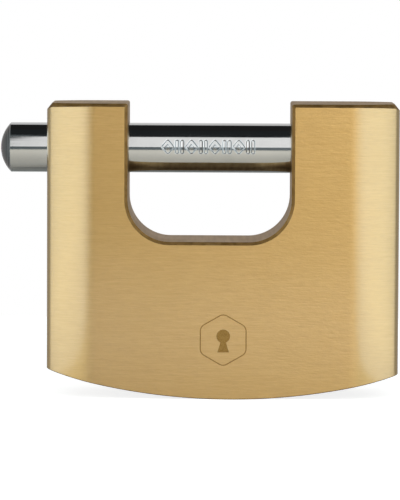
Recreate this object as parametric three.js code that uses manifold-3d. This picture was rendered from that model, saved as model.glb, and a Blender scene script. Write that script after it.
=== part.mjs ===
// Rectangular brass block padlock with a straight sliding bolt ("shutter" padlock).
// Millimetres, +Z up, +X to the right, +Y to the rear. The origin is on the underside,
// at the middle of the body's width. The lock is shown open with its bolt pushed home:
// the plug is turned to "open", the locking pin is down and the bolt is free to slide out.
import * as THREE from 'three';
import { mergeVertices } from 'three/addons/utils/BufferGeometryUtils.js';
import Module from 'manifold-3d';

const wasm = await Module();
wasm.setup();

// ---------------------------------------------------------------- driving dimensions

// Body block. In plan, a long curve runs from the flat front towards each end, and a
// tight one turns it into the flat end face.
const bodyWidth = 70;
const bodyDepth = 20;
const bodyHeight = 58.55;
const flankStartX = 25;
const endFlatHalf = 5.25;
const endEdgeRadius = 2.4;
const edgeChamfer = 0.62;
const endChamferWidth = 1.05;
const endChamferHeight = 1.3;
const baseArcRadius = 122;
const baseArcCentreX = 1.5;
const baseFacetCount = 5;

// Gap that takes the staple
const gapLeft = -18.9;
const gapRight = 13.55;
const gapFloor = 31.25;
const gapFillet = 8.4;

// Bolt and its bore
const boltRadius = 4.95;
const boltAxisHeight = 49.45;
const boltTipX = -44.45;
const boltEndX = 31.0;
const boltStroke = 50;
const boltBoreRadius = 5.15;
const boltBoreEndX = 31.5;
const grooveHalfWidth = 1.7;
const grooveDepth = 1.6;

// Pin pressed in from the rear that rides in the bolt's groove
const stopPinX = -26.5;
const stopPinRadius = 1.35;

// Cylinder plug
const plugAxisX = 24.3;
const plugRadius = 5.8;
const plugBottom = 6.0;
const plugTop = 27.0;
const plugBoreRadius = 6.0;
const plugClearance = 0.3;
const keywayHalfWidth = 1.0;
const keywayInner = 2.0;
const keywayOuter = 4.6;
const keywayTop = 24.0;
const plugGrooveBottom = 24.4;
const plugGrooveTop = 26.6;
const plugGrooveRadius = 4.4;
const spotFaceRadius = 6.5;
const spotFaceHeight = 3.6;

// Hardened disc at the mouth of the keyway
const guardDiscRadius = 5.7;
const guardDiscBottom = 4.2;
const guardDiscTop = 5.7;

// Pin stacks
const stackCount = 5;
const stackFirst = 9.2;
const stackPitch = 3.3;
const chamberRadius = 1.4;
const pinRadius = 1.2;
const chamberBlindX = 7.0;
const keyPinOuterEnd = 5.65;
const keyPinLengths = [3.4, 4.2, 3.0, 3.8, 3.2];
const plugChamberDepth = 0.6;
const driverLength = 4.0;
const driverShearGap = 0.3;
const chamberPlugLength = 3.6;
const chamberPlugRadius = 1.32;

// Springs
const driverSpringRadius = 0.95;
const driverSpringWire = 0.2;
const driverSpringTurns = 6;
const liftSpringRadius = 3.3;
const liftSpringWire = 0.3;
const liftSpringTurns = 3.5;

// Face cam and the locking pin that it lifts
const lift = 2.2;
const camRadius = 4.2;
const camBase = 27.3;
const camRampFoot = 28.6;
const camRampStart = 20;
const camRampSpan = 140;
const camTenonHalfWidth = 1.1;
const toothStart = 112;
const toothSpan = 44;
const rampInnerRadius = 1.2;
const camBoreRadius = 4.6;
const camBoreTop = 42.9;
const headRadius = 4.3;
const headBottom = 32.4;
const headTop = 37.5;
const stemRadius = 2.5;
const stemBoreRadius = 2.8;
const stemTipGap = 0.3;

// Dowel that stops the locking pin turning
const guideRadius = 0.8;
const guideHeight = 35.5;
const guideInnerY = 2.6;

// Cross pin in the plug's ring groove, and the anti-drill pins beside the plug
const retainerRadius = 0.8;
const retainerOffset = 5.6;
const retainerHeight = 25.5;
const retainerBlindY = -4.5;
const guardPinRadius = 1.0;
const guardPinOffset = 7.9;
const guardPinBottom = 2.9;
const guardPinTop = 18.0;

// Pressed pins stop this far under the surface, and have this much play in their holes
const pinRecess = 0.35;
const pressGap = 0.08;

// Facet counts
const boreSides = 32;
const boltSides = 24;
const pinSides = 12;

// ---------------------------------------------------------------- solids

// A closed three.js geometry as a solid: shared vertices merged, slivers dropped, faces out.
function toSolid(geometry) {
  const bare = geometry.index ? geometry.toNonIndexed() : geometry.clone();
  bare.deleteAttribute('normal');
  bare.deleteAttribute('uv');
  const merged = mergeVertices(bare, 1e-4);
  const points = merged.attributes.position;
  const corners = [new THREE.Vector3(), new THREE.Vector3(), new THREE.Vector3()];
  const kept = [];
  let volume = 0;
  for (let i = 0; i < merged.index.count; i += 3) {
    const ids = [0, 1, 2].map((k) => merged.index.getX(i + k));
    if (new Set(ids).size < 3) continue;
    ids.forEach((id, k) => corners[k].fromBufferAttribute(points, id));
    volume += corners[0].dot(corners[1].clone().cross(corners[2]));
    kept.push(ids);
  }
  const triangles = kept.flatMap(([a, b, c]) => (volume > 0 ? [a, b, c] : [a, c, b]));
  return new wasm.Manifold(new wasm.Mesh({
    numProp: 3,
    vertProperties: new Float32Array(points.array),
    triVerts: new Uint32Array(triangles),
  }));
}

function toGeometry(solid) {
  const { vertProperties, triVerts } = solid.getMesh();
  const geometry = new THREE.BufferGeometry();
  geometry.setAttribute('position', new THREE.BufferAttribute(new Float32Array(vertProperties), 3));
  geometry.setIndex(new THREE.BufferAttribute(new Uint32Array(triVerts), 1));
  geometry.computeVertexNormals();
  return geometry;
}

// Round bars along each axis, from one end to the other.
function barX(radius, from, to, y, z, sides = pinSides) {
  const bar = new THREE.CylinderGeometry(radius, radius, to - from, sides);
  return toSolid(bar.rotateZ(-Math.PI / 2).translate((from + to) / 2, y, z));
}

function barY(radius, from, to, x, z, sides = pinSides) {
  const bar = new THREE.CylinderGeometry(radius, radius, to - from, sides);
  return toSolid(bar.translate(x, (from + to) / 2, z));
}

function barZ(radius, from, to, x, y, sides = pinSides) {
  const bar = new THREE.CylinderGeometry(radius, radius, to - from, sides);
  return toSolid(bar.rotateX(Math.PI / 2).translate(x, y, (from + to) / 2));
}

function block(x0, x1, y0, y1, z0, z1) {
  const box = new THREE.BoxGeometry(x1 - x0, y1 - y0, z1 - z0);
  return toSolid(box.translate((x0 + x1) / 2, (y0 + y1) / 2, (z0 + z1) / 2));
}

// A profile of [radius, height] pairs turned about +Z.
function turnedZ(profile, sides) {
  const outline = profile.map(([r, h]) => new THREE.Vector2(r, h));
  return toSolid(new THREE.LatheGeometry(outline, sides).rotateX(Math.PI / 2));
}

// An X-Z outline run through the body from front to rear.
function throughBody(shape, depth, bevel = 0, curveSegments = 3) {
  const geometry = new THREE.ExtrudeGeometry(shape, {
    depth: depth - 2 * bevel,
    curveSegments,
    bevelEnabled: bevel > 0,
    bevelThickness: bevel,
    bevelSize: bevel,
    bevelOffset: -bevel,
    bevelSegments: 1,
  });
  return toSolid(geometry.rotateX(Math.PI / 2).translate(0, depth / 2 - bevel, 0));
}

// A helical coil about +Z, as a round wire swept along its centre line.
function coil(radius, wire, height, turns, stepsPerTurn, sides) {
  const rise = height - 2 * wire;
  const steps = Math.round(turns * stepsPerTurn);
  const points = [];
  for (let i = 0; i <= steps; i++) {
    const angle = (i / stepsPerTurn) * 2 * Math.PI;
    const z = wire + (rise * i) / steps;
    points.push(new THREE.Vector3(radius * Math.cos(angle), radius * Math.sin(angle), z));
  }
  const section = new THREE.Shape();
  section.absarc(0, 0, wire, 0, 2 * Math.PI);
  return new THREE.ExtrudeGeometry(section, {
    steps,
    curveSegments: sides / 2,
    extrudePath: new THREE.CatmullRomCurve3(points),
  });
}

// A sector of a ring whose top and bottom heights follow the angle (degrees).
function rampSector(outerRadius, start, span, bottomAt, topAt) {
  const steps = Math.round(span / 10);
  const shape = new THREE.Shape();
  const angles = Array.from({ length: steps + 1 }, (_, i) => start + (span * i) / steps);
  const at = (radius, degrees) => {
    const angle = THREE.MathUtils.degToRad(degrees);
    return new THREE.Vector2(radius * Math.cos(angle), radius * Math.sin(angle));
  };
  shape.setFromPoints([
    ...angles.map((degrees) => at(outerRadius, degrees)),
    ...angles.slice().reverse().map((degrees) => at(rampInnerRadius, degrees)),
  ]);
  const geometry = new THREE.ExtrudeGeometry(shape, { depth: 1, bevelEnabled: false });
  const points = geometry.attributes.position;
  for (let i = 0; i < points.count; i++) {
    const turn = THREE.MathUtils.radToDeg(Math.atan2(points.getY(i), points.getX(i)));
    const degrees = start + THREE.MathUtils.euclideanModulo(turn - start + 1, 360) - 1;
    points.setZ(i, points.getZ(i) > 0.5 ? topAt(degrees) : bottomAt(degrees));
  }
  return toSolid(geometry);
}

// ---------------------------------------------------------------- the body block

// Front outline: two posts with the gap between them. It runs well below the base arc,
// which trims it.
function frontOutline() {
  const half = bodyWidth / 2;
  const belowBase = -12;
  const shape = new THREE.Shape();
  shape.moveTo(-half, belowBase);
  shape.lineTo(half, belowBase);
  shape.lineTo(half, bodyHeight - endChamferHeight);
  shape.lineTo(half - endChamferWidth, bodyHeight);
  shape.lineTo(gapRight, bodyHeight);
  shape.lineTo(gapRight, gapFloor + gapFillet);
  shape.absarc(gapRight - gapFillet, gapFloor + gapFillet, gapFillet, 0, -Math.PI / 2, true);
  shape.absarc(gapLeft + gapFillet, gapFloor + gapFillet, gapFillet, -Math.PI / 2, -Math.PI, true);
  shape.lineTo(gapLeft, bodyHeight);
  shape.lineTo(-half + endChamferWidth, bodyHeight);
  shape.lineTo(-half, bodyHeight - endChamferHeight);
  return shape;
}

// The long curve touches the front, and the tight one it runs into touches the end face.
const flankRun = bodyWidth / 2 - flankStartX - endEdgeRadius;
const flankDrop = bodyDepth / 2 - endFlatHalf - endEdgeRadius;
const flankRadius = (flankRun ** 2 + flankDrop ** 2) / (2 * flankDrop) + endEdgeRadius;
const flankAngle = Math.asin(flankRun / (flankRadius - endEdgeRadius));

// Plan outline, the right end and then the left.
function planOutline() {
  const shape = new THREE.Shape();
  const edgeX = bodyWidth / 2 - endEdgeRadius;
  const flankY = bodyDepth / 2 - flankRadius;
  const quarter = Math.PI / 2;
  const meet = quarter - flankAngle;
  for (const [sign, facing] of [[1, 0], [-1, Math.PI]]) {
    const at = [sign * flankStartX, sign * flankY];
    const edge = [sign * edgeX, sign * endFlatHalf];
    shape.absarc(at[0], -at[1], flankRadius, facing - quarter, facing - meet);
    shape.absarc(edge[0], -edge[1], endEdgeRadius, facing - meet, facing);
    shape.absarc(edge[0], edge[1], endEdgeRadius, facing, facing + meet);
    shape.absarc(at[0], at[1], flankRadius, facing + meet, facing + quarter);
  }
  return shape;
}

// Everything above the base arc. The arc has an odd number of facets, so the block
// rests on a flat one, at z = 0.
function aboveBaseArc() {
  const reach = bodyWidth / 2 + 3;
  const facet = (2 * reach) / baseFacetCount;
  const rise = (x) => baseArcRadius - Math.sqrt(baseArcRadius ** 2 - x ** 2);
  const points = [];
  for (let i = 0; i <= baseFacetCount; i++) {
    const x = -reach + i * facet;
    points.push(new THREE.Vector2(baseArcCentreX + x, rise(x) - rise(facet / 2)));
  }
  points.push(new THREE.Vector2(baseArcCentreX + reach, bodyHeight + 5));
  points.push(new THREE.Vector2(baseArcCentreX - reach, bodyHeight + 5));
  return throughBody(new THREE.Shape().setFromPoints(points), bodyDepth + 4);
}

const rearFace = bodyDepth / 2;
const stackHeights = Array.from({ length: stackCount }, (_, i) => stackFirst + i * stackPitch);
const rightFace = bodyWidth / 2;
const leftFace = -bodyWidth / 2;
const retainerX = plugAxisX - retainerOffset;

// The rear surface at a given X, on the flat or the long curve, where a pressed pin stops
// short of it.
function rearSurface(x) {
  const past = Math.max(0, Math.abs(x) - flankStartX);
  return rearFace - flankRadius + Math.sqrt(flankRadius ** 2 - past ** 2);
}

function makeBody() {
  const plan = new THREE.ExtrudeGeometry(planOutline(), {
    depth: bodyHeight + 20,
    curveSegments: 8,
    bevelEnabled: false,
  }).translate(0, 0, -10);
  let body = throughBody(frontOutline(), bodyDepth, edgeChamfer)
    .intersect(toSolid(plan))
    .intersect(aboveBaseArc());
  const cuts = [
    barX(boltBoreRadius, leftFace - 2, boltBoreEndX, 0, boltAxisHeight, boltSides),
    barZ(spotFaceRadius, -2, spotFaceHeight, plugAxisX, 0, boreSides),
    barZ(plugBoreRadius, -2, camBase, plugAxisX, 0, boreSides),
    barZ(camBoreRadius, camBase - 1, camBoreTop, plugAxisX, 0, boreSides),
    barZ(stemBoreRadius, camBoreTop - 1, boltAxisHeight, plugAxisX, 0, boreSides),
    ...stackHeights.map((z) => barX(chamberRadius, chamberBlindX, rightFace + 2, 0, z)),
    barY(stopPinRadius + pressGap, 0, rearFace + 2, stopPinX, boltAxisHeight),
    barY(guideRadius + pressGap, 0, rearFace + 2, plugAxisX, guideHeight),
    barY(retainerRadius + pressGap, retainerBlindY, rearFace + 2, retainerX, retainerHeight),
    barZ(guardPinRadius + pressGap, -2, guardPinTop + plugClearance, plugAxisX, guardPinOffset),
    barZ(guardPinRadius + pressGap, -2, guardPinTop + plugClearance, plugAxisX, -guardPinOffset),
  ];
  for (const cut of cuts) body = body.subtract(cut);
  return body;
}

// ---------------------------------------------------------------- the bolt and its pins

// Round bar with a domed left end, a long groove along its rear and a notch underneath.
function makeBolt() {
  const length = boltEndX - boltTipX;
  const tip = [[0, 0], [1.3, 0.02], [2.6, 0.3], [3.6, 0.95], [4.4, 1.5], [4.8, 2.1]];
  const tail = [[boltRadius, length - 0.6], [boltRadius - 0.6, length], [0, length]];
  const outline = [...tip, [boltRadius, 2.7], ...tail].map(([r, x]) => new THREE.Vector2(r, x));
  const bar = new THREE.LatheGeometry(outline, boltSides);
  const grooveLeft = stopPinX - stopPinRadius - plugClearance;
  const grooveRight = stopPinX + stopPinRadius + plugClearance + boltStroke;
  const groove = block(
    grooveLeft, grooveRight,
    boltRadius - grooveDepth, boltRadius + 1,
    boltAxisHeight - grooveHalfWidth, boltAxisHeight + grooveHalfWidth,
  );
  const notch = block(
    plugAxisX - stemBoreRadius, plugAxisX + stemBoreRadius,
    -boltRadius - 1, boltRadius + 1,
    boltAxisHeight - boltRadius - 1, boltAxisHeight - boltRadius + lift + 0.1,
  );
  return toSolid(bar.rotateZ(-Math.PI / 2).translate(boltTipX, 0, boltAxisHeight))
    .subtract(groove)
    .subtract(notch);
}

function makeStopPin() {
  const innerEnd = boltRadius - grooveDepth + plugClearance;
  return barY(stopPinRadius, innerEnd, rearSurface(stopPinX) - pinRecess, stopPinX, boltAxisHeight);
}

// ---------------------------------------------------------------- the cylinder plug

// The plug's own frame has its axis on +Z through the origin and its chambers towards +Y.
function makePlug() {
  let plug = turnedZ([
    [0, plugBottom],
    [plugRadius, plugBottom],
    [plugRadius, plugGrooveBottom],
    [plugGrooveRadius, plugGrooveBottom],
    [plugGrooveRadius, plugGrooveTop],
    [plugRadius, plugGrooveTop],
    [plugRadius, plugTop],
    [0, plugTop],
  ], boreSides);
  plug = plug.subtract(keywaySlot(plugBottom - 1, keywayTop));
  for (const z of stackHeights) {
    plug = plug.subtract(barY(chamberRadius, plugChamberDepth, plugRadius + 1, 0, z));
  }
  const tenonHalf = camTenonHalfWidth - 0.2;
  return plug.add(block(-tenonHalf, tenonHalf, -2.6, 2.6, plugTop - 0.5, plugTop + 0.8));
}

// Keyway: a slot with one ward ridge along each side.
function keywaySlot(bottom, top) {
  const wardDepth = 0.45;
  return block(-keywayHalfWidth, keywayHalfWidth, -keywayOuter, keywayInner, bottom, top)
    .subtract(block(keywayHalfWidth - wardDepth, keywayHalfWidth + 1, -1.4, -0.3, bottom - 1, top + 1))
    .subtract(block(-keywayHalfWidth - 1, wardDepth - keywayHalfWidth, -3.2, -2.2, bottom - 1, top + 1));
}

function makeGuardDisc() {
  const bevel = 0.4;
  const disc = turnedZ([
    [0, guardDiscBottom],
    [guardDiscRadius - bevel, guardDiscBottom],
    [guardDiscRadius, guardDiscBottom + bevel],
    [guardDiscRadius, guardDiscTop],
    [0, guardDiscTop],
  ], boreSides);
  return disc.subtract(keywaySlot(guardDiscBottom - 1, guardDiscTop + 1));
}

// ---------------------------------------------------------------- face cam and locking pin

const riseAt = (degrees) => (lift * degrees) / 90;

// Two ramps that fall with the angle, so turning the cam by +90 degrees lifts the pin.
function makeCam() {
  let cam = barZ(camRadius, camBase, camRampFoot, 0, 0, boreSides);
  for (const side of [0, 180]) {
    const start = camRampStart + side;
    const top = (degrees) => camRampFoot + riseAt(camRampSpan - (degrees - start));
    cam = cam.add(rampSector(camRadius, start, camRampSpan, () => camBase + 0.4, top));
  }
  return cam.subtract(block(-camTenonHalfWidth, camTenonHalfWidth, -2.9, 2.9, camBase - 1, camBase + 1));
}

// The pin: a stem that enters the bolt's notch, and a head with two teeth on the cam's ramps.
function makeLockingPin() {
  const tip = boltAxisHeight - boltRadius - stemTipGap;
  const tipBevel = 0.5;
  let pin = turnedZ([
    [0, headBottom],
    [headRadius, headBottom],
    [headRadius, headTop],
    [stemRadius, headTop],
    [stemRadius, tip - tipBevel],
    [stemRadius - tipBevel, tip],
    [0, tip],
  ], boreSides);
  for (const side of [0, 180]) {
    const ramp = (degrees) => camRampFoot + riseAt(camRampSpan - (degrees - camRampStart - side));
    const foot = (degrees) => ramp(degrees) + plugClearance;
    const toothTop = () => headBottom + 0.5;
    pin = pin.add(rampSector(camRadius - 0.2, toothStart + side, toothSpan, foot, toothTop));
  }
  const guideSlot = block(
    -guideRadius - 0.3, guideRadius + 0.3,
    guideInnerY - 0.3, headRadius + 1,
    camRampFoot - 1, guideHeight + guideRadius + 0.4,
  );
  return pin.subtract(guideSlot);
}

// ---------------------------------------------------------------- materials

const finish = {
  brushedBrass: { color: 0xb99a66, roughness: 0.38, metalness: 1 },
  plainBrass: { color: 0xb8924e, roughness: 0.45, metalness: 1 },
  polishedSteel: { color: 0xc9cbce, roughness: 0.12, metalness: 1 },
  hardenedSteel: { color: 0x77797c, roughness: 0.4, metalness: 1 },
  springSteel: { color: 0x9a9c9f, roughness: 0.3, metalness: 1 },
  nickelSilver: { color: 0xc2bda8, roughness: 0.3, metalness: 1 },
};

const group = new THREE.Group();

function addPiece(name, shape, look, parent = group) {
  const geometry = shape instanceof THREE.BufferGeometry ? shape : toGeometry(shape);
  const mesh = new THREE.Mesh(geometry, new THREE.MeshStandardMaterial(finish[look]));
  mesh.name = name;
  parent.add(mesh);
  return mesh;
}

// ---------------------------------------------------------------- assembly

addPiece('body', makeBody(), 'brushedBrass');
addPiece('bolt', makeBolt(), 'polishedSteel');
addPiece('bolt_stop_pin', makeStopPin(), 'hardenedSteel');

const plugGroup = new THREE.Group();
plugGroup.position.x = plugAxisX;
group.add(plugGroup);
addPiece('cylinder_plug', makePlug(), 'plainBrass', plugGroup);
addPiece('keyway_guard_disc', makeGuardDisc(), 'hardenedSteel', plugGroup);
addPiece('cam_driver', makeCam(), 'hardenedSteel', plugGroup);
addPiece('locking_pin', makeLockingPin(), 'hardenedSteel', plugGroup);

const liftSpringHeight = camBoreTop - headTop - 0.2;
const liftSpring = coil(liftSpringRadius, liftSpringWire, liftSpringHeight, liftSpringTurns, 12, 6);
addPiece('locking_pin_spring', liftSpring, 'springSteel', plugGroup).position.z = headTop + 0.1;

addPiece(
  'locking_pin_guide',
  barY(guideRadius, guideInnerY, rearFace - pinRecess, plugAxisX, guideHeight),
  'hardenedSteel',
);
addPiece(
  'plug_retaining_pin',
  barY(retainerRadius, retainerBlindY + 0.3, rearFace - pinRecess, retainerX, retainerHeight),
  'hardenedSteel',
);
for (const [number, side] of [[1, 1], [2, -1]]) {
  addPiece(
    `anti_drill_pin_${number}`,
    barZ(guardPinRadius, guardPinBottom, guardPinTop, plugAxisX, side * guardPinOffset),
    'hardenedSteel',
  );
}

// Five pin stacks. The key pins are in the turned plug, towards the rear. The drivers rest
// on the plug's outside with their springs behind them, towards the middle of the body.
const driverInnerEnd = plugAxisX - plugRadius - driverShearGap;
const driverOuterEnd = driverInnerEnd - driverLength;
const driverSpringLength = driverOuterEnd - chamberBlindX - 0.2;

stackHeights.forEach((z, i) => {
  const number = i + 1;
  const keyPinInner = keyPinOuterEnd - keyPinLengths[i];
  const keyPin = turnedZ([
    [0, keyPinInner],
    [0.5, keyPinInner],
    [pinRadius, keyPinInner + 0.7],
    [pinRadius, keyPinOuterEnd],
    [0, keyPinOuterEnd],
  ], pinSides);
  const keyPinMesh = addPiece(`key_pin_${number}`, keyPin, 'nickelSilver', plugGroup);
  keyPinMesh.rotation.x = -Math.PI / 2;
  keyPinMesh.position.z = z;

  const driver = barX(pinRadius, driverOuterEnd, driverInnerEnd, 0, z);
  addPiece(`driver_pin_${number}`, driver, 'hardenedSteel');

  const spring = coil(driverSpringRadius, driverSpringWire, driverSpringLength, driverSpringTurns, 8, 4);
  const springMesh = addPiece(`driver_spring_${number}`, spring, 'springSteel');
  springMesh.rotation.y = Math.PI / 2;
  springMesh.position.set(chamberBlindX + 0.1, 0, z);

  const capOuter = rightFace - 0.1;
  const cap = barX(chamberPlugRadius, capOuter - chamberPlugLength, capOuter, 0, z);
  addPiece(`chamber_plug_${number}`, cap, 'plainBrass');
});

export default group;
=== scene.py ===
"""Brass block padlock with a straight sliding steel bolt, on a pale studio floor."""
import itertools
import math

import bmesh
import bpy
from mathutils import Matrix, Vector


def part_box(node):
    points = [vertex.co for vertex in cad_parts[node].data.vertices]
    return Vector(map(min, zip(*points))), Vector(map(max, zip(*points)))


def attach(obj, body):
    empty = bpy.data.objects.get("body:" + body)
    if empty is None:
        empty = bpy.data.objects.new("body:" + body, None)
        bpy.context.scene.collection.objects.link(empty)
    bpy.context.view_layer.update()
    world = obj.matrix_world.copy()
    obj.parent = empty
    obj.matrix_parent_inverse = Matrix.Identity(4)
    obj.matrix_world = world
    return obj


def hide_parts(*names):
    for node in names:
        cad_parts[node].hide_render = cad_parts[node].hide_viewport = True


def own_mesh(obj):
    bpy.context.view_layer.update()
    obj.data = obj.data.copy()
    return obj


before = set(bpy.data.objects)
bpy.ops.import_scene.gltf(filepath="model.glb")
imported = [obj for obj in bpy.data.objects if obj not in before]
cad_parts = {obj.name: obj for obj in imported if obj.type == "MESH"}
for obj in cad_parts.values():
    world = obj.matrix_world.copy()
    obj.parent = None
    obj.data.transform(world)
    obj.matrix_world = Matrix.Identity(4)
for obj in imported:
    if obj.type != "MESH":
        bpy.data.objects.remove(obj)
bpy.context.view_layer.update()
MM = 0.001
scene = bpy.context.scene
scene.view_settings.view_transform = "Standard"

# ------------------------------------------------------------------ sizes, in millimetres


def box_mm(node):
    low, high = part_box(node)
    return low / MM, high / MM


BODY_HIGH = box_mm("body")[1]
BOLT_LOW, BOLT_HIGH = box_mm("bolt")
PLUG_LOW, PLUG_HIGH = box_mm("cylinder_plug")
DISC_LOW, DISC_HIGH = box_mm("keyway_guard_disc")
STOP_LOW, STOP_HIGH = box_mm("bolt_stop_pin")

HALF_WIDTH = BODY_HIGH.x
HALF_DEPTH = BODY_HIGH.y
HEIGHT = BODY_HIGH.z
FLANK_START = 25.0
END_FLAT_HALF = 5.25
END_EDGE_RADIUS = 2.4
BASE_ARC_RADIUS = 122.0
BASE_ARC_X = 1.5
BASE_EDGE = 0.15
EDGE_CHAMFER = 0.62
END_CHAMFER_WIDTH = 1.05
END_CHAMFER_HEIGHT = 1.3

GAP_LEFT = -18.9
GAP_RIGHT = 13.55
GAP_FLOOR = 31.25
GAP_FILLET = 8.4
GAP_TOP_ROUND = 0.45

BOLT_RADIUS = (BOLT_HIGH.z - BOLT_LOW.z) / 2
BOLT_Z = (BOLT_HIGH.z + BOLT_LOW.z) / 2
BOLT_BORE_RADIUS = 5.12
BOLT_BORE_END = 31.5
BOLT_STROKE = 50.0
GROOVE_HALF = 1.7
GROOVE_DEPTH = 1.6
NOTCH_DEPTH = 2.3

PLUG_X = (PLUG_LOW.x + PLUG_HIGH.x) / 2
PLUG_RADIUS = (PLUG_HIGH.x - PLUG_LOW.x) / 2
PLUG_BORE_RADIUS = 6.0
CAM_BORE_RADIUS = 4.6
CAM_BORE_FOOT = 27.3
CAM_BORE_TOP = 42.9
STEM_BORE_RADIUS = 2.8
SPOT_FACE_RADIUS = 6.5
SPOT_FACE_Z = 3.6
CHAMBER_RADIUS = 1.4
CHAMBER_BLIND_X = 7.0
PLUG_CHAMBER_Y = 0.6
PIN_PLAY = 0.05
STACKS = range(1, 6)
BASE_PINS = ("anti_drill_pin_1", "anti_drill_pin_2")
# Where each hole drilled from the rear ends, as its y.
REAR_PINS = {"bolt_stop_pin": 0.0, "locking_pin_guide": 0.0, "plug_retaining_pin": -4.5}

# ------------------------------------------------------------------ node helpers


class Nodes:
    """Adds shader nodes to one tree; a value that is a number or a socket goes into an input."""

    def __init__(self, tree):
        self.tree = tree
        tree.nodes.clear()

    def add(self, kind, inputs=None, **settings):
        node = self.tree.nodes.new(kind)
        for key, value in settings.items():
            setattr(node, key, value)
        for key, value in (inputs or {}).items():
            self.put(node.inputs[key], value)
        return node

    def put(self, socket, value):
        if isinstance(value, bpy.types.NodeSocket):
            self.tree.links.new(value, socket)
        else:
            socket.default_value = value

    def math(self, operation, first, second=0.0):
        node = self.tree.nodes.new("ShaderNodeMath")
        node.operation = operation
        for socket, value in zip(node.inputs, (first, second)):
            self.put(socket, value)
        return node.outputs[0]

    def ramp(self, value, low, high, start=0.0, end=1.0):
        """Start at low, end at high, with a smooth step between them."""
        node = self.tree.nodes.new("ShaderNodeMapRange")
        node.interpolation_type = "SMOOTHSTEP"
        for socket, item in zip(node.inputs, (value, low, high, start, end)):
            self.put(socket, item)
        return node.outputs[0]

    def noise(self, scale, stretch=(1, 1, 1), detail=3.0, roughness=0.55, offset=(0, 0, 0)):
        """Noise in the object's own coordinates; scale times stretch is in cells per metre."""
        place = self.add("ShaderNodeTexCoord").outputs["Object"]
        mapping = self.add(
            "ShaderNodeMapping",
            {"Vector": place, "Scale": tuple(scale * s for s in stretch), "Location": offset},
        )
        texture = self.add(
            "ShaderNodeTexNoise",
            {"Vector": mapping.outputs[0], "Scale": 1.0, "Detail": detail, "Roughness": roughness},
        )
        return texture.outputs["Fac"]

    def blend(self, factor, first, second):
        """Mixes two colours."""
        node = self.tree.nodes.new("ShaderNodeMix")
        node.data_type = "RGBA"
        for name, value in (("Factor_Float", factor), ("A_Color", first), ("B_Color", second)):
            socket = next(s for s in node.inputs if s.identifier == name)
            self.put(socket, value)
        return next(s for s in node.outputs if s.identifier == "Result_Color")


def new_material(name):
    material = bpy.data.materials.new(name)
    material.use_nodes = True
    return material, Nodes(material.node_tree)


def rgb(r, g, b):
    return (r, g, b, 1.0)


def finish_metal(nodes, color, roughness, bump, bump_depth, **extras):
    """A Principled metal; each extra goes to the input of its name."""
    shader = nodes.add("ShaderNodeBsdfPrincipled", {"Base Color": color, "Roughness": roughness})
    shader.inputs["Metallic"].default_value = 1.0
    for name, value in extras.items():
        nodes.put(shader.inputs[name.replace("_", " ")], value)
    relief = nodes.add("ShaderNodeBump", {"Height": bump, "Strength": 1.0, "Distance": bump_depth})
    nodes.put(shader.inputs["Normal"], relief.outputs["Normal"])
    output = nodes.add("ShaderNodeOutputMaterial")
    nodes.put(output.inputs["Surface"], shader.outputs[0])


# ------------------------------------------------------------------ materials


def brushed_brass():
    """Lacquered brass, brushed level all round the block, so light spreads up and down it."""
    material, n = new_material("brushed_brass")
    hairs = n.noise(1.0, (260, 260, 5200), 4.0, 0.6)
    strands = n.noise(1.0, (110, 110, 1700), 3.0, 0.55, (3.1, 1.7, 0.0))
    grain = n.noise(1.0, (750, 750, 2800), 3.0, 0.6)
    clouds = n.noise(55.0, (1, 1, 1.6), 2.0, 0.5)
    tone = n.math("ADD", n.math("MULTIPLY", hairs, 0.7), n.math("MULTIPLY", strands, 0.3))
    color = n.blend(n.ramp(tone, 0.3, 0.7), rgb(0.665, 0.400, 0.121), rgb(0.745, 0.463, 0.157))
    color = n.blend(n.ramp(clouds, 0.35, 0.75, 0.0, 0.25), color, rgb(0.665, 0.409, 0.117))
    color = n.blend(n.ramp(grain, 0.45, 0.8, 0.0, 0.25), color, rgb(0.55, 0.33, 0.10))
    roughness = n.ramp(strands, 0.25, 0.75, 0.43, 0.47)
    tangent = n.add("ShaderNodeTangent", direction_type="RADIAL", axis="Z").outputs[0]
    relief = n.math("ADD", tone, n.math("MULTIPLY", grain, 4.0))
    finish_metal(
        n, color, roughness, relief, bump_depth=0.000012,
        Anisotropic=0.95, Anisotropic_Rotation=0.25, Tangent=tangent,
        Coat_Weight=1.0, Coat_Roughness=0.14, Coat_IOR=1.9,
    )
    return material


def milled_brass():
    """Bare cut brass of the gap's walls and floor, the top and the base, tarnished brown."""
    material, n = new_material("milled_brass")
    lines = n.noise(1.0, (1500, 60, 1500), 3.0, 0.55)
    clouds = n.noise(90.0)
    color = n.blend(n.ramp(lines, 0.3, 0.7), rgb(0.28, 0.175, 0.08), rgb(0.365, 0.24, 0.115))
    color = n.blend(n.ramp(clouds, 0.4, 0.8, 0.0, 0.3), color, rgb(0.25, 0.15, 0.06))
    roughness = n.ramp(clouds, 0.3, 0.7, 0.40, 0.46)
    tarnish = rgb(0.80, 0.74, 0.68)
    finish_metal(n, color, roughness, lines, bump_depth=0.000008, Specular_Tint=tarnish)
    return material


def cut_edge_brass():
    """The chamfers round the front, rear and gap: darker and duller than the faces."""
    material, n = new_material("cut_edge_brass")
    grain = n.noise(700.0, (1, 1, 1), 3.0, 0.6)
    wear = n.noise(160.0, (1, 1, 1), 3.0, 0.55, (1.3, 0.4, 2.2))
    color = n.blend(n.ramp(grain, 0.3, 0.7), rgb(0.21, 0.112, 0.033), rgb(0.30, 0.167, 0.057))
    color = n.blend(n.ramp(wear, 0.55, 0.8, 0.0, 0.6), color, rgb(0.50, 0.35, 0.17))
    finish_metal(n, color, n.ramp(grain, 0.3, 0.7, 0.50, 0.58), grain, bump_depth=0.000006)
    return material


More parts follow.
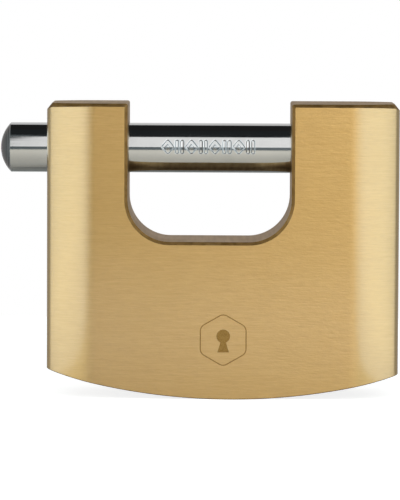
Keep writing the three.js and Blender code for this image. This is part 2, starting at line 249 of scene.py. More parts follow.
def bored_brass(name="bored_brass", dark=rgb(0.42, 0.29, 0.13), light=rgb(0.60, 0.43, 0.21)):
    """Turned or drilled brass."""
    material, n = new_material(name)
    rings = n.noise(1.0, (900, 900, 900), 3.0, 0.6)
    clouds = n.noise(140.0)
    color = n.blend(n.ramp(clouds, 0.3, 0.75), dark, light)
    finish_metal(n, color, n.ramp(rings, 0.3, 0.7, 0.30, 0.42), rings, bump_depth=0.000006)
    return material


def laser_mark():
    """Burnt brass of the mark on the front."""
    material, n = new_material("laser_mark")
    grain = n.noise(6000.0, (1, 1, 1), 2.0, 0.6)
    color = n.blend(n.ramp(grain, 0.3, 0.7), rgb(0.25, 0.135, 0.035), rgb(0.36, 0.21, 0.065))
    finish_metal(n, color, n.ramp(grain, 0.3, 0.7, 0.45, 0.6), grain, bump_depth=0.00001)
    return material


def polished_steel():
    """Plated bolt: nearly a mirror, with hairline wear along it and dark turned rings on its cap."""
    ring_waves = 15000.0
    rim = BOLT_LOW.x + 1.95
    fade = 0.15
    material, n = new_material("polished_steel")
    place = n.add("ShaderNodeTexCoord").outputs["Object"]
    axes = n.add("ShaderNodeSeparateXYZ", {"Vector": place})
    across = n.math("SUBTRACT", axes.outputs["Z"], BOLT_Z * MM)
    squares = n.math("ADD", n.math("POWER", axes.outputs["Y"], 2.0), n.math("POWER", across, 2.0))
    radius = n.math("SQRT", squares)
    cap = n.ramp(axes.outputs["X"], rim * MM, (rim + fade) * MM, 1.0, 0.0)
    turning = n.math("MULTIPLY", n.math("SINE", n.math("MULTIPLY", radius, ring_waves)), 0.5)
    wear = n.noise(1.0, (90, 2600, 2600), 4.0, 0.6)
    smears = n.noise(120.0, (1, 1, 1), 3.0, 0.6)
    relief = n.math("ADD", n.math("MULTIPLY", turning, cap), n.math("MULTIPLY", wear, 0.05))
    color = n.blend(n.ramp(smears, 0.3, 0.75), rgb(0.53, 0.53, 0.525), rgb(0.59, 0.59, 0.585))
    rings = n.blend(n.ramp(turning, -0.4, 0.4), rgb(0.07, 0.066, 0.062), rgb(0.30, 0.285, 0.27))
    color = n.blend(cap, color, rings)
    roughness = n.math("ADD", n.ramp(wear, 0.35, 0.8, 0.06, 0.12), n.math("MULTIPLY", cap, 0.16))
    finish_metal(n, color, roughness, relief, bump_depth=0.00001)
    return material


def stamp_wall_shade():
    """The sloping walls of the marks stamped in the bolt, nearly black: painted shade in the grooves.
    """
    material, n = new_material("stamp_wall_shade")
    grain = n.noise(900.0, (1, 1, 1), 3.0, 0.6)
    color = n.blend(n.ramp(grain, 0.3, 0.7), rgb(0.055, 0.046, 0.042), rgb(0.12, 0.104, 0.097))
    finish_metal(n, color, n.ramp(grain, 0.3, 0.7, 0.30, 0.40), grain, bump_depth=0.000004)
    return material


def plain_metal(name, dark, light, smooth, rough):
    """Ground metal for the pins, the springs, the disc and the cam."""
    material, n = new_material(name)
    grain = n.noise(700.0, (1, 1, 1), 4.0, 0.6)
    clouds = n.noise(160.0)
    color = n.blend(n.ramp(clouds, 0.3, 0.7), dark, light)
    finish_metal(n, color, n.ramp(grain, 0.3, 0.7, smooth, rough), grain, bump_depth=0.000006)
    return material


BRUSHED = brushed_brass()
MILLED = milled_brass()
CUT_EDGE = cut_edge_brass()
BORED = bored_brass()
PLUG_BRASS = bored_brass("plug_brass", rgb(0.55, 0.38, 0.15), rgb(0.70, 0.50, 0.22))
MARK = laser_mark()
CHROME = polished_steel()
STAMP_WALL_SHADE = stamp_wall_shade()
STEEL = plain_metal("hardened_steel", rgb(0.20, 0.20, 0.21), rgb(0.34, 0.34, 0.35), 0.28, 0.42)
NICKEL = plain_metal("nickel_silver", rgb(0.52, 0.49, 0.41), rgb(0.66, 0.62, 0.53), 0.2, 0.32)
SPRING = plain_metal("spring_steel", rgb(0.36, 0.36, 0.37), rgb(0.5, 0.5, 0.51), 0.2, 0.3)

# ------------------------------------------------------------------ mesh helpers


def mesh_object(name, points, faces, materials):
    """A mesh from points in millimetres, with its faces turned outwards."""
    mesh = bpy.data.meshes.new(name)
    mesh.from_pydata([Vector(p) * MM for p in points], [], faces)
    piece = bpy.data.objects.new(name, mesh)
    scene.collection.objects.link(piece)
    for material in materials:
        mesh.materials.append(material)
    work = bmesh.new()
    work.from_mesh(mesh)
    bmesh.ops.recalc_face_normals(work, faces=work.faces)
    work.to_mesh(mesh)
    work.free()
    return piece


def band(first, count):
    """Faces between the ring of count points that starts at index first and the next ring."""
    faces = []
    for i in range(count):
        j = (i + 1) % count
        faces.append((first + i, first + j, first + count + j, first + count + i))
    return faces


def loft(name, rings, materials):
    """A closed solid through rings of equal length, with flat ends."""
    count = len(rings[0])
    last = (len(rings) - 1) * count
    points = [p for ring in rings for p in ring]
    faces = []
    for first in range(0, last, count):
        faces += band(first, count)
    faces.append(tuple(range(count)))
    faces.append(tuple(range(last, last + count)))
    return mesh_object(name, points, faces, materials)


AXES = {
    "X": (Vector((1, 0, 0)), Vector((0, 1, 0)), Vector((0, 0, 1))),
    "Y": (Vector((0, 1, 0)), Vector((0, 0, 1)), Vector((1, 0, 0))),
    "Z": (Vector((0, 0, 1)), Vector((1, 0, 0)), Vector((0, 1, 0))),
}


def turned(name, profile, axis, centre, material, sides=72):
    """Turns (radius, distance along the axis) pairs about an axis through centre."""
    along, across, up = AXES[axis]
    rings = []
    for radius, distance in profile:
        ring = []
        for i in range(sides):
            angle = 2 * math.pi * i / sides
            out = across * math.cos(angle) + up * math.sin(angle)
            ring.append(Vector(centre) + along * distance + out * radius)
        rings.append(ring)
    return loft(name, rings, [material])


def bar(name, axis, radius, start, end, centre, material, bevel=0.0, sides=72):
    """A round bar between two distances along the axis, with bevelled ends."""
    if bevel == 0.0:
        return turned(name, [(radius, start), (radius, end)], axis, centre, material, sides)
    profile = [
        (radius - bevel, start), (radius - 0.3 * bevel, start + 0.3 * bevel),
        (radius, start + bevel), (radius, end - bevel),
        (radius - 0.3 * bevel, end - 0.3 * bevel), (radius - bevel, end),
    ]
    return turned(name, profile, axis, centre, material, sides)


def brick(name, low, high, material):
    """A box between two corners."""
    corners = list(itertools.product(*zip(low, high)))
    faces = [(0, 1, 3, 2), (4, 6, 7, 5), (0, 4, 5, 1), (2, 3, 7, 6), (0, 2, 6, 4), (1, 5, 7, 3)]
    return mesh_object(name, corners, faces, [material])


def prism_y(name, outline, front, rear, material):
    """An X-Z outline run along Y."""
    rings = [[(x, y, z) for x, z in outline] for y in (front, rear)]
    return loft(name, rings, [material])


def bake(piece):
    """Replaces the mesh by what its modifiers make of it."""
    graph = bpy.context.evaluated_depsgraph_get()
    mesh = bpy.data.meshes.new_from_object(piece.evaluated_get(graph))
    old = piece.data
    piece.modifiers.clear()
    piece.data = mesh
    mesh.name = piece.name
    bpy.data.meshes.remove(old)


def combine(piece, cutters, operation="DIFFERENCE"):
    """Cuts or joins with each cutter, whose material the new faces take, and removes it."""
    for cutter in cutters:
        modifier = piece.modifiers.new(cutter.name, "BOOLEAN")
        modifier.operation = operation
        modifier.solver = "EXACT"
        modifier.object = cutter
        modifier.material_mode = "TRANSFER"
    bake(piece)
    for cutter in cutters:
        data = cutter.data
        bpy.data.objects.remove(cutter)
        bpy.data.meshes.remove(data)


SHARP_ANGLE = math.radians(24)
JOIN_DISTANCE = 1e-7


def shade(piece):
    """Merges doubled points, then smooths round faces, keeps edges crisp and flats flat."""
    work = bmesh.new()
    work.from_mesh(piece.data)
    bmesh.ops.remove_doubles(work, verts=work.verts, dist=JOIN_DISTANCE)
    bmesh.ops.dissolve_degenerate(work, edges=work.edges, dist=JOIN_DISTANCE)
    for face in work.faces:
        face.smooth = True
    for edge in work.edges:
        edge.smooth = edge.calc_face_angle(math.pi) < SHARP_ANGLE
    work.to_mesh(piece.data)
    work.free()
    normals = piece.modifiers.new("flat_faces_lead", "WEIGHTED_NORMAL")
    normals.keep_sharp = True


def place(piece, body, node, slot_name):
    """The piece stands for a CAD node and moves with its body."""
    shade(piece)
    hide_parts(node)
    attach(piece, body)


# ------------------------------------------------------------------ body block


def base_height(x):
    """Height of the curved base above the ground at x."""
    return BASE_ARC_RADIUS - math.sqrt(BASE_ARC_RADIUS**2 - (x - BASE_ARC_X) ** 2)


def plan_arc(centre_x, centre_y, radius, start, end, steps):
    """Points of the plan outline along an arc, without its first: (x, y, normal x, normal y)."""
    points = []
    for i in range(1, steps + 1):
        angle = start + (end - start) * i / steps
        nx, ny = math.cos(angle), math.sin(angle)
        points.append((centre_x + radius * nx, centre_y + radius * ny, nx, ny))
    return points


def front_edge():
    """The front half of the plan outline, left to right: (x, y, normal x, normal y)."""
    run = HALF_WIDTH - FLANK_START - END_EDGE_RADIUS
    drop = HALF_DEPTH - END_FLAT_HALF - END_EDGE_RADIUS
    flank_radius = (run**2 + drop**2) / (2 * drop) + END_EDGE_RADIUS
    meet = 1.5 * math.pi - math.asin(run / (flank_radius - END_EDGE_RADIUS))
    end = [(-HALF_WIDTH, y, -1.0, 0.0) for y in (0.0, -END_FLAT_HALF / 2, -END_FLAT_HALF)]
    end += plan_arc(
        END_EDGE_RADIUS - HALF_WIDTH, -END_FLAT_HALF, END_EDGE_RADIUS, math.pi, meet, 16
    )
    end += plan_arc(
        -FLANK_START, flank_radius - HALF_DEPTH, flank_radius, meet, 1.5 * math.pi, 30
    )
    flats = 30
    front = [FLANK_START * (2 * i / flats - 1) for i in range(1, flats)]
    edge = end + [(x, -HALF_DEPTH, 0.0, -1.0) for x in front]
    edge += [(-x, y, -nx, ny) for x, y, nx, ny in reversed(end)]
    return edge


def block_solid():
    """The block before cutting: level rings round the plan, then strips across top and base."""
    edge = front_edge()
    last = len(edge) - 1
    loop = edge + [(x, -y, nx, -ny) for x, y, nx, ny in reversed(edge[1:last])]

    def ring(inset, height):
        made = []
        for x, y, nx, ny in loop:
            step = inset(nx)
            made.append((x - step * nx, y - step * ny, height(x, nx)))
        return made

    def chamfer_width(nx):
        return EDGE_CHAMFER + (END_CHAMFER_WIDTH - EDGE_CHAMFER) * nx * nx

    def chamfer_height(nx):
        return EDGE_CHAMFER + (END_CHAMFER_HEIGHT - EDGE_CHAMFER) * nx * nx

    rings = [
        ring(lambda nx: BASE_EDGE, lambda x, nx: base_height(x)),
        ring(lambda nx: 0.0, lambda x, nx: base_height(x) + BASE_EDGE),
        ring(lambda nx: 0.0, lambda x, nx: HEIGHT - chamfer_height(nx)),
        ring(chamfer_width, lambda x, nx: HEIGHT),
    ]
    count = len(loop)
    points = [p for r in rings for p in r]
    materials = [BRUSHED, MILLED, BORED, MARK, CUT_EDGE]
    faces, finishes = [], []
    for k, finish in enumerate((CUT_EDGE, BRUSHED, CUT_EDGE)):
        faces += band(k * count, count)
        finishes += [finish] * count
    for start in (0, (len(rings) - 1) * count):
        for i in range(last):
            strip = (i, i + 1, (count - i - 1) % count, (count - i) % count)
            faces.append(tuple(dict.fromkeys(start + k for k in strip)))
            finishes.append(MILLED)
    block = mesh_object("padlock_body", points, faces, materials)
    for face, finish in zip(block.data.polygons, finishes):
        face.material_index = materials.index(finish)
    return block


def gap_outline(grown):
    """The gap's X-Z outline, grown outwards for the chamfers at the front and rear."""
    points = []
    left, right = GAP_LEFT - grown, GAP_RIGHT + grown
    fillet = GAP_FILLET + grown
    high = HEIGHT + 4
    for side, wall in ((-1, left), (1, right)):
        half = []
        centre_x = wall + side * GAP_TOP_ROUND
        half.append((wall + side * (GAP_TOP_ROUND - 0.01), high))
        for i in range(7):
            angle = math.radians(87 - 87 * i / 6)
            half.append((
                centre_x - side * GAP_TOP_ROUND * math.cos(angle),
                HEIGHT - GAP_TOP_ROUND + GAP_TOP_ROUND * math.sin(angle),
            ))
        for i in range(25):
            angle = math.radians(90 * i / 24)
            half.append((
                wall - side * fillet * (1 - math.cos(angle)),
                GAP_FLOOR + GAP_FILLET - fillet * math.sin(angle),
            ))
        points += half if side < 0 else reversed(half)
    return points


def gap_cutter():
    """The gap with its chamfers, run a little past the front and rear faces."""
    past = 1.0
    inner = HALF_DEPTH - EDGE_CHAMFER
    rings = []
    for y, grown in (
        (-HALF_DEPTH - past, EDGE_CHAMFER + past),
        (-inner, 0.0),
        (inner, 0.0),
        (HALF_DEPTH + past, EDGE_CHAMFER + past),
    ):
        rings.append([(x, y, z) for x, z in gap_outline(grown)])
    gap = loft("gap", rings, [MILLED, CUT_EDGE])
    for face in gap.data.polygons:
        if abs(face.center.y) > inner * MM:
            face.material_index = 1
    return gap


def hexagon(radius, corner, steps=6):
    """A hexagon with rounded corners, points up, as (x, z) pairs."""
    points = []
    inner = radius - corner / math.cos(math.radians(30))
    for k in range(6):
        middle = math.radians(90 + 60 * k)
        for i in range(steps + 1):
            angle = middle + math.radians(-30 + 60 * i / steps)
            points.append((
                inner * math.cos(middle) + corner * math.cos(angle),
                inner * math.sin(middle) + corner * math.sin(angle),
            ))
    return points


def keyhole(radius, foot_half, height, neck_half):
    """A keyhole: a round head over a flared foot."""
    points = []
    neck = math.degrees(math.asin(neck_half / radius))
    for i in range(33):
        angle = math.radians(-90 + neck + (360 - 2 * neck) * i / 32)
        points.append((radius * math.cos(angle), radius * math.sin(angle)))
    points += [(-foot_half, -height), (foot_half, -height)]
    return points


MARK_X = 0.15
MARK_Z = 11.85
MARK_RADIUS = 5.35
MARK_CORNER = 1.6
MARK_LINE = 0.24
MARK_DEPTH = 0.06
KEYHOLE_LIFT = 0.75


def mark_cutters():
    """A hexagon outline round a keyhole, cut a hair deep into the front face."""

    def prism(name, outline, lift=0.0, past=0.0):
        placed = [(MARK_X + x, MARK_Z + lift + z) for x, z in outline]
        front = -HALF_DEPTH - 0.5 - past
        rear = -HALF_DEPTH + MARK_DEPTH + past
        return prism_y(name, placed, front, rear, MARK)

    line = prism("mark_outline", hexagon(MARK_RADIUS, MARK_CORNER))
    middle = hexagon(MARK_RADIUS - MARK_LINE, MARK_CORNER - MARK_LINE)
    combine(line, [prism("mark_middle", middle, past=1.0)])
    hole = keyhole(radius=1.35, foot_half=1.15, height=3.2, neck_half=0.55)
    return [line, prism("mark_keyhole", hole, KEYHOLE_LIFT)]


def bore(name, axis, radius, start, end, centre, sides):
    """A cutter for a round hole in brass."""
    return bar(name, axis, radius, start, end, centre, BORED, sides=sides)


def make_body():
    """The block, cut in one go by the gap, the bores, the pin holes and the mark."""
    past = 3
    bolt_line = (0, 0, BOLT_Z)
    plug_line = (PLUG_X, 0, 0)
    # The cam's and the stem's bores each start inside the wider bore below them.
    cam_start, stem_start = 26.0, 42.0
    cutters = [
        gap_cutter(),
        bore("bolt_bore", "X", BOLT_BORE_RADIUS, -HALF_WIDTH - past, BOLT_BORE_END, bolt_line, 96),
        bore("spot_face", "Z", SPOT_FACE_RADIUS, -past, SPOT_FACE_Z, plug_line, 96),
        bore("plug_bore", "Z", PLUG_BORE_RADIUS, -past - 1, CAM_BORE_FOOT, plug_line, 96),
        bore("cam_bore", "Z", CAM_BORE_RADIUS, cam_start, CAM_BORE_TOP, plug_line, 72),
        bore("stem_bore", "Z", STEM_BORE_RADIUS, stem_start, BOLT_Z, plug_line, 72),
    ]
    for k in STACKS:
        low, high = box_mm(f"driver_pin_{k}")
        centre = (0, 0, (low.z + high.z) / 2)
        cutters.append(
            bore(f"chamber_{k}", "X", CHAMBER_RADIUS, CHAMBER_BLIND_X, HALF_WIDTH + past, centre, 48)
        )
    for node, inner_end in REAR_PINS.items():
        low, high = box_mm(node)
        radius = (high.x - low.x) / 2 + PIN_PLAY
        centre = ((low.x + high.x) / 2, 0, (low.z + high.z) / 2)
        cutters.append(bore(node + "_hole", "Y", radius, inner_end, HALF_DEPTH + past, centre, 48))
    for node in BASE_PINS:
        low, high = box_mm(node)
        radius = (high.x - low.x) / 2 + PIN_PLAY
        centre = (PLUG_X, (low.y + high.y) / 2, 0)
        cutters.append(bore(node + "_hole", "Z", radius, -past, high.z + 0.3, centre, 48))
    cutters += mark_cutters()
    block = block_solid()
    combine(block, cutters)
    place(block, "block", "body", "body_brass")


# ------------------------------------------------------------------ bolt

TIP_RADIUS = 6.95

STAMP_LEFT = -12.2
STAMP_RIGHT = 6.6
STAMP_Z = 0.4
STAMP_HALF_HEIGHT = 1.45
STAMP_COUNT = 8
STAMP_STROKE = 0.43
STAMP_FLOOR = 0.20
STAMP_DEPTH = 0.16
STAMP_MESH = 0.045


def stamp_strokes():
    """Strokes of a row of plain shapes, diamonds and paired bars in turn, as (x, z) ends."""
    pitch = (STAMP_RIGHT - STAMP_LEFT) / STAMP_COUNT
    wide, high = pitch * 0.36, STAMP_HALF_HEIGHT - STAMP_STROKE
    strokes = []
    for k in range(STAMP_COUNT):
        x = STAMP_LEFT + pitch * (k + 0.5)
        if k % 2 == 0:
            around = [(x - wide, 0), (x, -high), (x + wide, 0), (x, high)]
            corners = [Vector(corner) for corner in around]
            strokes += [(corners[i], corners[(i + 1) % 4]) for i in range(4)]
        else:
            for side in (-1, 1):
                bar_x = x + side * wide * 0.6
                strokes.append((Vector((bar_x, -high)), Vector((bar_x, high))))
    return strokes


def stamp_depth(point, strokes):
    """How far the stamping lowers the surface at (x, z): flat floors with sloping walls."""
    nearest = STAMP_STROKE
    for start, end in strokes:
        if abs(point.x - start.x) > 2 and abs(point.x - end.x) > 2:
            continue
        run = end - start
        share = max(0.0, min(1.0, (point - start).dot(run) / run.dot(run)))
        nearest = min(nearest, (point - start - run * share).length)
    slope = (STAMP_STROKE - nearest) / (STAMP_STROKE - STAMP_FLOOR)
    slope = max(0.0, min(1.0, slope))
    return STAMP_DEPTH * slope * slope * (3 - 2 * slope)


def even_steps(low, high, step):
    """Evenly spaced values from low to high, about a step apart."""
    count = max(1, round((high - low) / step))
    return [low + (high - low) * i / count for i in range(count + 1)]


def bolt_angles():
    """Angles round the bolt from the front: fine where it is stamped, coarser elsewhere."""
    reach = math.asin((STAMP_HALF_HEIGHT + abs(STAMP_Z) + 0.1) / BOLT_RADIUS)
    fine = even_steps(-reach, reach, STAMP_MESH / BOLT_RADIUS)
    coarse = even_steps(reach, 2 * math.pi - reach, math.radians(4))
    return fine + coarse[1:-1]


def bolt_profile():
    """(radius, x) pairs from the round cap to the bevelled end, close together at the stamping."""
    tip, end = BOLT_LOW.x, BOLT_HIGH.x
    cap = [BOLT_RADIUS * k / 12 for k in range(1, 13)]
    stamped = even_steps(STAMP_LEFT - 0.2, STAMP_RIGHT + 0.2, STAMP_MESH)
    profile = [(r, tip + TIP_RADIUS - math.sqrt(TIP_RADIUS**2 - r**2)) for r in cap]
    profile += [(BOLT_RADIUS, x) for x in (tip + 2.4, *stamped, end - 0.6)]
    profile += [(BOLT_RADIUS - 0.15, end - 0.25), (BOLT_RADIUS - 0.6, end)]
    return profile


def make_bolt():
    """The bolt with its stamping, the long groove for its stop pin and the locking pin's notch."""
    strokes = stamp_strokes()
    angles = bolt_angles()
    rings, depths = [], []
    for radius, x in bolt_profile():
        stamped = STAMP_LEFT - 0.1 < x < STAMP_RIGHT + 0.1
        row = []
        for angle in angles:
            depth = 0.0
            if stamped and math.cos(angle) > 0.5:
                depth = stamp_depth(Vector((x, radius * math.sin(angle) - STAMP_Z)), strokes)
            row.append(depth)
        outs = [radius - depth for depth in row]
        rings.append([
            (x, -out * math.cos(angle), BOLT_Z + out * math.sin(angle))
            for out, angle in zip(outs, angles)
        ])
        depths += row
    bolt = loft("padlock_bolt", rings, [CHROME, STAMP_WALL_SHADE])
    for face in bolt.data.polygons:
        around = [depths[k] for k in face.vertices]
        # Faces on the stamp walls take the nearly black finish, which is painted shade in the
        # grooves.
        on_a_wall = 0.12 < sum(around) / len(around) / STAMP_DEPTH < 0.9
        if on_a_wall:
            face.material_index = 1
    play = 0.3
    groove = slot_outline(STOP_LOW.x - play, STOP_HIGH.x + play + BOLT_STROKE, GROOVE_HALF)
    rear_cut = prism_y("groove", groove, BOLT_RADIUS - GROOVE_DEPTH, BOLT_RADIUS + 1, CHROME)
    notch = brick(
        "notch",
        (PLUG_X - STEM_BORE_RADIUS, -BOLT_RADIUS - 1, BOLT_Z - BOLT_RADIUS - 1),
        (PLUG_X + STEM_BORE_RADIUS, BOLT_RADIUS + 1, BOLT_Z - BOLT_RADIUS + NOTCH_DEPTH),
        CHROME,
    )
    combine(bolt, [rear_cut, notch])
    place(bolt, "bolt", "bolt", "bolt_steel")


def slot_outline(left, right, half):
    """A slot with round ends, as (x, z) pairs about the bolt's axis."""
    points = []
    for centre, start in ((right - half, -90), (left + half, 90)):
        for i in range(13):
            angle = math.radians(start + 15 * i)
            points.append((centre + half * math.cos(angle), BOLT_Z + half * math.sin(angle)))
    return points


# ------------------------------------------------------------------ plug and disc


def keyway_outline():
    """The warded keyway seen from below, as (x, y) pairs about the plug's axis."""
    return [
        (-1.0, -4.4), (-0.8, -4.6), (0.8, -4.6), (1.0, -4.4),
        (1.0, -1.4), (0.55, -1.3), (0.55, -0.4), (1.0, -0.3),
        (1.0, 1.8), (0.8, 2.0), (-0.8, 2.0), (-1.0, 1.8),
        (-1.0, -2.2), (-0.55, -2.3), (-0.55, -3.1), (-1.0, -3.2),
    ]


def keyway_cutter(low, high):
    """The keyway between two heights."""
    rings = [[(PLUG_X + x, y, z) for x, y in keyway_outline()] for z in (low, high)]
    return loft("keyway", rings, [BORED])


def make_plug():
    """The plug: ring groove for its retaining pin, keyway, five chambers and a tenon on top."""
    low, high = PLUG_LOW.z, PLUG_HIGH.z
    shoulder = high - 0.8
    bevel = 0.2
    groove_low, groove_high, groove_radius = 24.4, 26.6, 4.4
    profile = [
        (PLUG_RADIUS - bevel, low), (PLUG_RADIUS, low + bevel),
        (PLUG_RADIUS, groove_low), (groove_radius, groove_low),
        (groove_radius, groove_high), (PLUG_RADIUS, groove_high),
        (PLUG_RADIUS, shoulder - bevel), (PLUG_RADIUS - bevel, shoulder),
    ]
    plug = turned("plug", profile, "Z", (PLUG_X, 0, 0), PLUG_BRASS, 96)
    cutters = [keyway_cutter(low - 1, 24.0)]
    for k in STACKS:
        pin_low, pin_high = box_mm(f"key_pin_{k}")
        centre = (PLUG_X, 0, (pin_low.z + pin_high.z) / 2)
        start, end = PLUG_CHAMBER_Y, PLUG_RADIUS + 2
        cutters.append(bore(f"plug_chamber_{k}", "Y", CHAMBER_RADIUS - 0.1, start, end, centre, 48))
    combine(plug, cutters)
    tenon_low = (PLUG_X - 0.9, -2.6, shoulder - 0.5)
    tenon_high = (PLUG_X + 0.9, 2.6, high)
    tenon = brick("tenon", tenon_low, tenon_high, PLUG_BRASS)
    combine(plug, [tenon], "UNION")
    place(plug, "plug", "cylinder_plug", "plug_brass")


def make_disc():
    """The hardened disc round the mouth of the keyway."""
    radius = (DISC_HIGH.x - DISC_LOW.x) / 2
    low, high = DISC_LOW.z, DISC_HIGH.z
    profile = [(radius - 0.45, low), (radius - 0.12, low + 0.1), (radius, low + 0.42), (radius, high)]
    disc = turned("guard_disc", profile, "Z", (PLUG_X, 0, 0), STEEL, 96)
    combine(disc, [keyway_cutter(low - 1, high + 1)])
    place(disc, "plug", "keyway_guard_disc", "hardened_steel")


# ------------------------------------------------------------------ pins and springs


def fine_pin(node, axis, body, slot_name, material, bevel):
    """A smooth bevelled pin in a CAD pin's place."""
    low, high = box_mm(node)
    along = "XYZ".index(axis)
    across = (along + 1) % 3
    radius = (high[across] - low[across]) / 2
    centre = (low + high) / 2
    start, end = low[along], high[along]
    centre[along] = 0.0
    piece = bar(node + "_fine", axis, radius, start, end, centre, material, bevel)
    place(piece, body, node, slot_name)


def key_pin(number):
    """A key pin: round outer end, cone towards the keyway."""
    node = f"key_pin_{number}"
    low, high = box_mm(node)
    radius = (high.x - low.x) / 2
    centre = ((low.x + high.x) / 2, 0, (low.z + high.z) / 2)
    profile = [
        (0.42, low.y), (0.52, low.y + 0.06), (radius, low.y + 0.75),
        (radius, high.y - 0.22), (radius - 0.08, high.y - 0.06), (radius - 0.25, high.y),
    ]
    piece = turned(node + "_fine", profile, "Y", centre, NICKEL, 48)
    place(piece, f"key_pin_{number}", node, "key_pin")


def coil_spring(node, axis, turns, wire):
    """A round-wire coil, wound evenly from one end of its CAD box to the other."""
    low, high = box_mm(node)
    along, across, up = AXES[axis]
    k = "XYZ".index(axis)
    middle = (low + high) / 2
    start, end = low[k] + wire, high[k] - wire
    middle[k] = 0.0
    radius = (high[(k + 1) % 3] - low[(k + 1) % 3]) / 2 - wire
    steps_per_turn, section = 28, 10
    steps = round(turns * steps_per_turn)
    rings = []
    for i in range(steps + 1):
        share = i / steps
        angle = 2 * math.pi * turns * share
        out = across * math.cos(angle) + up * math.sin(angle)
        centre = middle + out * radius + along * (start + (end - start) * share)
        heading = (up * math.cos(angle) - across * math.sin(angle)) * (2 * math.pi * turns * radius)
        heading = (heading + along * (end - start)).normalized()
        side = heading.cross(out)
        ring = []
        for j in range(section):
            turn = 2 * math.pi * j / section
            ring.append(centre + (out * math.cos(turn) + side * math.sin(turn)) * wire)
        rings.append(ring)
    piece = loft(node + "_fine", rings, [SPRING])
    place(piece, "block", node, "spring_steel")
    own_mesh(piece)


def make_small_parts():
    """Pins, chamber plugs and springs; the cam and the locking pin keep their CAD shape."""
    for node in REAR_PINS:
        fine_pin(node, "Y", "block", "hardened_steel", STEEL, 0.2)
    for node in BASE_PINS:
        fine_pin(node, "Z", "block", "hardened_steel", STEEL, 0.2)
    for k in STACKS:
        key_pin(k)
        fine_pin(f"driver_pin_{k}", "X", f"driver_{k}", "hardened_steel", STEEL, 0.2)
        fine_pin(f"chamber_plug_{k}", "X", "block", "plug_brass", PLUG_BRASS, 0.1)
        coil_spring(f"driver_spring_{k}", "X", 7, 0.2)
    coil_spring("locking_pin_spring", "Z", 3.5, 0.3)
    for node in ("cam_driver", "locking_pin"):
        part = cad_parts[node]
        part.data.materials.clear()
        part.data.materials.append(STEEL)


# ------------------------------------------------------------------ studio


def make_world():
    """Light by direction: bright boxes at both sides, dimmer ones behind, nearly black above.

    The camera itself sees plain white.
    """
    world = bpy.data.worlds.new("studio")
    world.use_nodes = True
    scene.world = world
    n = Nodes(world.node_tree)
    way = n.add("ShaderNodeSeparateXYZ", {"Vector": n.add("ShaderNodeTexCoord").outputs["Generated"]})
    x, y, z = way.outputs
    degrees = 180 / math.pi
    azimuth = n.math("MULTIPLY", n.math("ARCTAN2", x, n.math("MULTIPLY", y, -1.0)), degrees)
    height = n.math("MULTIPLY", n.math("ARCSINE", z), degrees)

    def window(value, low, low_soft, high, high_soft):
        """1 from low to high and 0 outside, with edges as soft as stated."""
        rise = n.ramp(value, low - low_soft, low + low_soft)
        fall = n.ramp(value, high - high_soft, high + high_soft, 1.0, 0.0)
        return n.math("MULTIPLY", rise, fall)

    def box(across, up, brightness):
        return n.math("MULTIPLY", n.math("MULTIPLY", across, up), brightness)

    def below(low, high):
        return n.ramp(height, low, high, 1.0, 0.0)

    from_front = n.math("ABSOLUTE", azimuth)
    side_height = window(height, -30, 3, 60, 3)
    left = box(window(azimuth, -90, 32, -13, 10), side_height, 1.50)
    right = box(window(azimuth, 12, 12, 86, 32), side_height, 1.58)
    behind = box(n.ramp(from_front, 88, 106), below(36, 46), 0.38)
    far_behind = box(n.ramp(from_front, 148, 162), below(46, 50), 0.80)
    low_band = box(n.ramp(azimuth, -14, 14, 0.08, 0.23), below(4, 12), 1.0)
    light = n.math("ADD", low_band, 0.02)
    for patch in (left, right, behind, far_behind):
        light = n.math("MAXIMUM", light, patch)
    seen = n.add("ShaderNodeLightPath").outputs["Is Camera Ray"]
    strength = n.math("ADD", n.math("MULTIPLY", light, n.math("SUBTRACT", 1.0, seen)), seen)
    white = rgb(1, 1, 1)
    tint = n.blend(n.ramp(from_front, 110, 140), rgb(1.02, 1.18, 1.25), white)
    color = n.blend(seen, tint, white)
    background = n.add("ShaderNodeBackground", {"Color": color, "Strength": strength})
    output = n.add("ShaderNodeOutputWorld")
    n.put(output.inputs["Surface"], background.outputs[0])


PANEL_Y = -300.0
PANEL_FOOT = 78.0
PANEL_TOP = 437.0
# Name, left edge, right edge, radiance.
PANELS = (("front", -64.0, 36.0, 1.13), ("right", 38.0, 92.0, 3.1))


def make_panels():
    """Upright light panels in front of the lock: a wide one, and a brighter one at its right."""
    for name, left, right, radiance in PANELS:
        light = bpy.data.lights.new(name + "_panel", "AREA")
        light.shape = "RECTANGLE"
        light.size = (right - left) * MM
        light.size_y = (PANEL_TOP - PANEL_FOOT) * MM
        light.energy = radiance * math.pi * light.size * light.size_y
        panel = bpy.data.objects.new(name + "_panel", light)
        scene.collection.objects.link(panel)
        middle = Vector(((left + right) / 2, PANEL_Y, (PANEL_FOOT + PANEL_TOP) / 2))
        panel.location = middle * MM
        panel.rotation_euler = (math.radians(90), 0, 0)
        panel.visible_camera = False


TABLE_LIGHT_AT = Vector((-34.0, -182.0, 600.0))


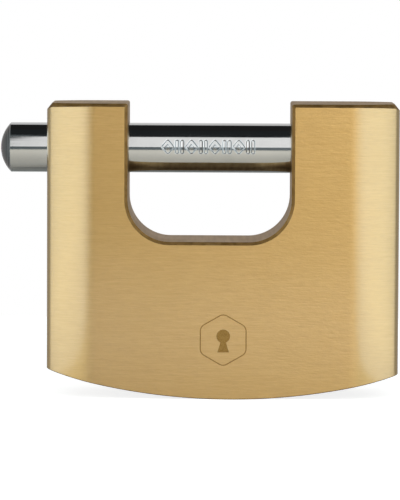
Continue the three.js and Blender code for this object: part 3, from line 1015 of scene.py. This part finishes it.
def make_table_light():
    """A round soft pool of light on the table in front of the lock, pointing straight down."""
    light = bpy.data.lights.new("table_light", "SPOT")
    light.spot_size = math.radians(44)
    light.spot_blend = 1.0
    light.shadow_soft_size = 0.03
    light.energy = 19.0
    light.color = (1.0, 0.965, 0.86)
    lamp = bpy.data.objects.new("table_light", light)
    scene.collection.objects.link(lamp)
    lamp.location = TABLE_LIGHT_AT * MM
    lamp.visible_camera = False
    lamp.visible_glossy = False


FLOOR_LOW = (-66.0, -440.0, -4.0)
FLOOR_HIGH = (52.0, 160.0, -0.02)
FLOOR_COLOR = rgb(0.43, 0.415, 0.39)
FLOOR_GLOW = 0.84


def make_floor():
    """A pale table top. Seen directly it is lit up like a light table, so it stays pale."""
    material, n = new_material("pale_floor")
    seen = n.add("ShaderNodeLightPath").outputs["Is Camera Ray"]
    plain = n.add("ShaderNodeBsdfDiffuse", {"Color": FLOOR_COLOR})
    glow = n.add("ShaderNodeEmission", {"Strength": n.math("MULTIPLY", seen, FLOOR_GLOW)})
    both = n.add("ShaderNodeAddShader")
    n.put(both.inputs[0], plain.outputs[0])
    n.put(both.inputs[1], glow.outputs[0])
    output = n.add("ShaderNodeOutputMaterial")
    n.put(output.inputs["Surface"], both.outputs[0])
    floor = brick("floor", FLOOR_LOW, FLOOR_HIGH, material)


CAMERA_AT = Vector((-1.66, -708.5, 83.75))
CAMERA_AIM = Vector((-4.56, 0.0, 28.95))
CAMERA_ROLL = math.radians(0.264)
CAMERA_LENS = 255.3
CAMERA_SENSOR = 36.0


def make_camera():
    """The photograph's view: level across apart from a slight roll, a little above the lock."""
    data = bpy.data.cameras.new("camera")
    data.lens = CAMERA_LENS
    data.sensor_width = CAMERA_SENSOR
    data.clip_start = 0.05
    data.clip_end = 50.0
    camera = bpy.data.objects.new("camera", data)
    scene.collection.objects.link(camera)
    level = (CAMERA_AIM - CAMERA_AT).to_track_quat("-Z", "Y").to_matrix().to_4x4()
    roll = Matrix.Rotation(CAMERA_ROLL, 4, "Z")
    camera.matrix_world = Matrix.Translation(CAMERA_AT * MM) @ level @ roll
    scene.camera = camera


make_camera()
make_world()
make_panels()
make_table_light()
make_floor()
make_body()
make_bolt()
make_plug()
make_disc()
make_small_parts()
